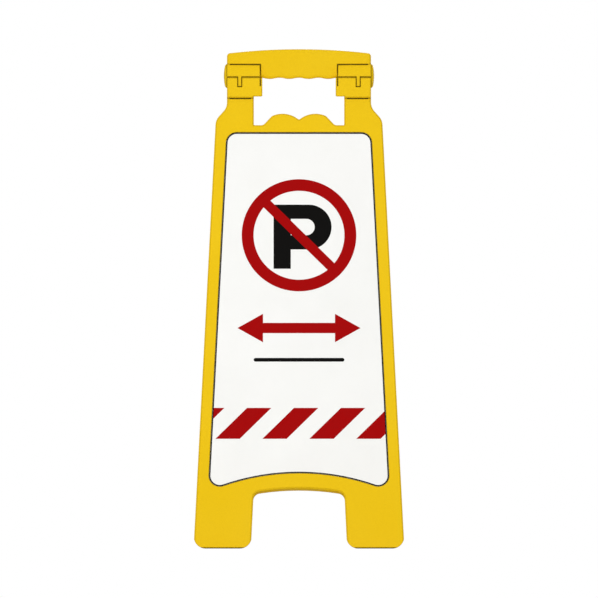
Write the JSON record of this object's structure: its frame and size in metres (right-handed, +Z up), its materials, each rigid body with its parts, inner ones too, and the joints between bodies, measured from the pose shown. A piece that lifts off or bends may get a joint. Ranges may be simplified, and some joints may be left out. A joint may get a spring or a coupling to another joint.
{
  "type": "folding floor stand sign",
  "caption": "A-frame floor sign of hinged plastic leaves with a carrying handle on top, which folds flat and stands open on its own stops to show a no-parking symbol.",
  "frame": {"origin": "on the floor, under the middle of the hinge axis of the open sign", "axes": "+X along the hinge axis to the right as seen from the front, +Y from the front leaf to the rear leaf, +Z up"},
  "size_m": [0.2798, 0.3, 0.6657],
  "materials": {
    "yellow_plastic": "moulded",
    "printed_sheet": "printed",
    "tape": "foam tape",
    "steel": "zinc plated"
  },
  "bodies": {
    "handle": {"handle_front_shell": "yellow_plastic", "handle_rear_shell": "yellow_plastic", "handle_screws": "steel", "left_hinge_pin": "steel", "right_hinge_pin": "steel", "left_end_cap": "yellow_plastic", "right_end_cap": "yellow_plastic"},
    "front_leaf": {"front_leaf": "yellow_plastic", "front_sign_sheet": "printed_sheet", "front_sheet_tape": "tape"},
    "rear_leaf": {"rear_leaf": "yellow_plastic", "rear_sign_sheet": "printed_sheet", "rear_sheet_tape": "tape"}
  },
  "joints": [
    {"name": "front_fold", "type": "hinge", "parent": "handle", "child": "front_leaf", "pos_m": [0, 0, 0.63], "axis": [1, 0, 0], "range_deg": [0, 12]},
    {"name": "rear_fold", "type": "hinge", "parent": "handle", "child": "rear_leaf", "pos_m": [0, 0, 0.63], "axis": [-1, 0, 0], "range_deg": [0, 12]}
  ]
}
